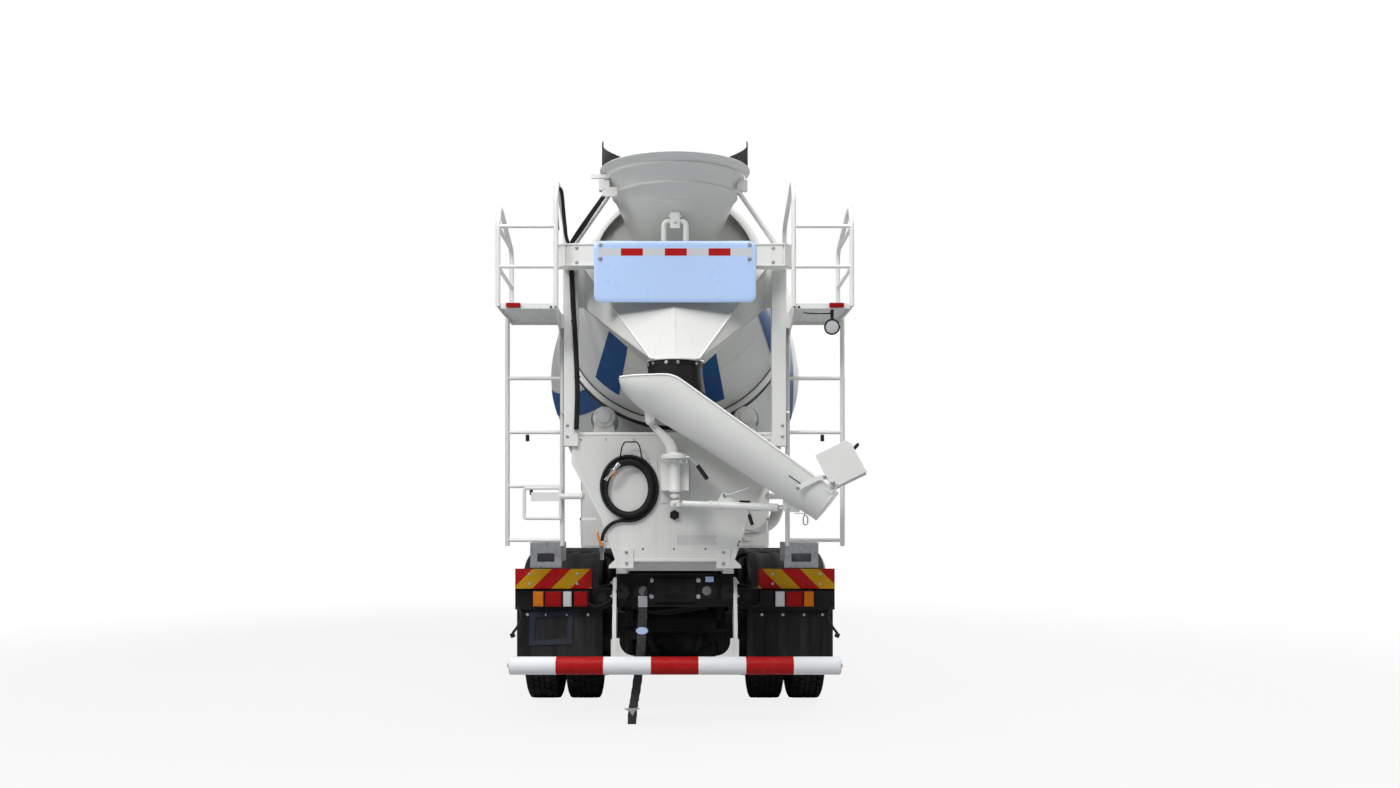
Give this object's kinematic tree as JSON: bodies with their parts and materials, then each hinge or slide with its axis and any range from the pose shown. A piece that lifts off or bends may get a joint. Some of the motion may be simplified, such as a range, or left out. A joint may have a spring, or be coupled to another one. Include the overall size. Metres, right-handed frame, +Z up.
{
  "type": "concrete mixer truck",
  "caption": "Concrete mixer truck: forward-control cab, tilted mixing drum on a steel frame, charge hopper and swinging discharge chute at the rear.",
  "frame": {"origin": "on the ground, under the middle of the truck's bounding box", "axes": "+X to the truck's right, +Y forward, +Z up"},
  "size_m": [2.5974, 8.6975, 4.2003],
  "materials": {
    "white_paint": "glossy white paint",
    "grey_paint": "satin grey paint",
    "black_paint": "satin black paint",
    "black_rubber": "matt",
    "tyre_rubber": "matt",
    "tinted_glass": "clear, lightly tinted",
    "cab_trim": "dark grey trim"
  },
  "bodies": {
    "chassis": {"chassis_frame": "black_paint", "air_tank": "black_paint", "mixer_subframe": "white_paint", "engine": "grey_paint", "propeller_shaft": "grey_paint", "front_axle": "black_paint", "rear_axle_1": "black_paint", "rear_axle_2": "black_paint", "bogie_springs": "black_paint", "front_bumper": "white_paint", "fuel_tank": "grey_paint", "battery_box": "black_paint", "silencer": "grey_paint", "mudguard_left": "black_paint", "mudguard_right": "black_paint", "tail_carrier_left": "black_paint", "tail_carrier_right": "black_paint", "underrun_bar": "white_paint", "drum_gearbox": "grey_paint", "water_tank": "grey_paint", "rear_stand": "white_paint", "ladder_left": "white_paint", "ladder_right": "white_paint", "charge_hopper": "white_paint", "hopper_guard": "black_rubber", "discharge_funnel": "white_paint", "rubber_spout": "black_rubber", "sign_board": "white_paint", "wash_hose_coil": "black_rubber", "earthing_strap": "black_rubber"},
    "drum": {"drum_shell": "white_paint"},
    "roller_left": {"drum_roller_left": "grey_paint"},
    "roller_right": {"drum_roller_right": "grey_paint"},
    "column": {"chute_column": "white_paint"},
    "trough": {"chute": "white_paint"},
    "hood": {"chute_hood": "white_paint"},
    "sleeve": {"strut_sleeve": "white_paint"},
    "rod": {"strut_rod": "white_paint"},
    "cab": {"cab_shell": "white_paint", "windscreen": "tinted_glass", "cab_interior": "cab_trim"},
    "door_left": {"cab_door_left": "white_paint", "door_glass_left": "tinted_glass"},
    "door_right": {"cab_door_right": "white_paint", "door_glass_right": "tinted_glass"},
    "steer_left": {"knuckle_left": "black_paint"},
    "steer_right": {"knuckle_right": "black_paint"},
    "wheel_front_left": {"front_wheel_left": "tyre_rubber"},
    "wheel_front_right": {"front_wheel_right": "tyre_rubber"},
    "wheels_1_left": {"rear_wheels_1_left": "tyre_rubber"},
    "wheels_1_right": {"rear_wheels_1_right": "tyre_rubber"},
    "wheels_2_left": {"rear_wheels_2_left": "tyre_rubber"},
    "wheels_2_right": {"rear_wheels_2_right": "tyre_rubber"}
  },
  "joints": [
    {"name": "drum_spin", "type": "hinge", "parent": "chassis", "child": "drum", "pos_m": [0, -3.4, 3.4], "axis": [0, 0.9744, -0.225], "continuous": true},
    {"name": "roller_spin_left", "type": "hinge", "parent": "chassis", "child": "roller_left", "pos_m": [-0.567, -2.72666, 2.31568], "axis": [0, 0.9744, -0.225], "continuous": true},
    {"name": "roller_spin_right", "type": "hinge", "parent": "chassis", "child": "roller_right", "pos_m": [0.567, -2.72666, 2.31568], "axis": [0, 0.9744, -0.225], "continuous": true},
    {"name": "chute_swing", "type": "hinge", "parent": "chassis", "child": "column", "pos_m": [0, -3.9, 1.8], "axis": [0, 0, 1], "range_deg": [-155, 5]},
    {"name": "chute_pitch", "type": "hinge", "parent": "column", "child": "trough", "pos_m": [-0.1684, -3.87031, 2.212], "axis": [-0.1736, -0.9848, 0], "range_deg": [-8, 12]},
    {"name": "strut_swing", "type": "hinge", "parent": "trough", "child": "sleeve", "pos_m": [0.77504, -4.03666, 1.6], "axis": [-0.1736, -0.9848, 0], "range_deg": [-4, 5]},
    {"name": "strut_slide", "type": "slide", "parent": "sleeve", "child": "rod", "axis": [-0.9838, 0.1735, 0.0457], "range_m": [-0.1, 0.15]},
    {"name": "hood_fold", "type": "hinge", "parent": "trough", "child": "hood", "pos_m": [1.08821, -4.09188, 1.762], "axis": [0.1736, 0.9848, 0], "range_deg": [0, 70]},
    {"name": "cab_tilt", "type": "hinge", "parent": "chassis", "child": "cab", "pos_m": [0, 4.12, 1.05], "axis": [-1, 0, 0], "range_deg": [0, 50]},
    {"name": "door_swing_left", "type": "hinge", "parent": "cab", "child": "door_left", "pos_m": [-1.2123, 4.02, 2], "axis": [0, 0, -1], "range_deg": [0, 70]},
    {"name": "door_swing_right", "type": "hinge", "parent": "cab", "child": "door_right", "pos_m": [1.2123, 4.02, 2], "axis": [0, 0, 1], "range_deg": [0, 70]},
    {"name": "steer_turn_left", "type": "hinge", "parent": "chassis", "child": "steer_left", "pos_m": [-0.8, 2.85, 0.53335], "axis": [0, 0, 1], "range_deg": [-35, 35]},
    {"name": "steer_turn_right", "type": "hinge", "parent": "chassis", "child": "steer_right", "pos_m": [0.8, 2.85, 0.53335], "axis": [0, 0, 1], "range_deg": [-35, 35]},
    {"name": "front_spin_left", "type": "hinge", "parent": "steer_left", "child": "wheel_front_left", "pos_m": [-1.025, 2.85, 0.53335], "axis": [1, 0, 0], "continuous": true},
    {"name": "front_spin_right", "type": "hinge", "parent": "steer_right", "child": "wheel_front_right", "pos_m": [1.025, 2.85, 0.53335], "axis": [1, 0, 0], "continuous": true},
    {"name": "spin_1_left", "type": "hinge", "parent": "chassis", "child": "wheels_1_left", "pos_m": [-0.925, -0.85, 0.53335], "axis": [1, 0, 0], "continuous": true},
    {"name": "spin_1_right", "type": "hinge", "parent": "chassis", "child": "wheels_1_right", "pos_m": [0.925, -0.85, 0.53335], "axis": [1, 0, 0], "continuous": true},
    {"name": "spin_2_left", "type": "hinge", "parent": "chassis", "child": "wheels_2_left", "pos_m": [-0.925, -2.2, 0.53335], "axis": [1, 0, 0], "continuous": true},
    {"name": "spin_2_right", "type": "hinge", "parent": "chassis", "child": "wheels_2_right", "pos_m": [0.925, -2.2, 0.53335], "axis": [1, 0, 0], "continuous": true}
  ],
  "couplings": [
    {"joint": "roller_spin_left", "follows": "drum_spin", "ratio": -8.972},
    {"joint": "roller_spin_right", "follows": "drum_spin", "ratio": -8.972},
    {"joint": "strut_swing", "follows": "chute_pitch", "ratio": 0.2502},
    {"joint": "strut_slide", "follows": "chute_pitch", "m_per_rad": 0.5676},
    {"joint": "steer_turn_right", "follows": "steer_turn_left", "ratio": 1}
  ]
}
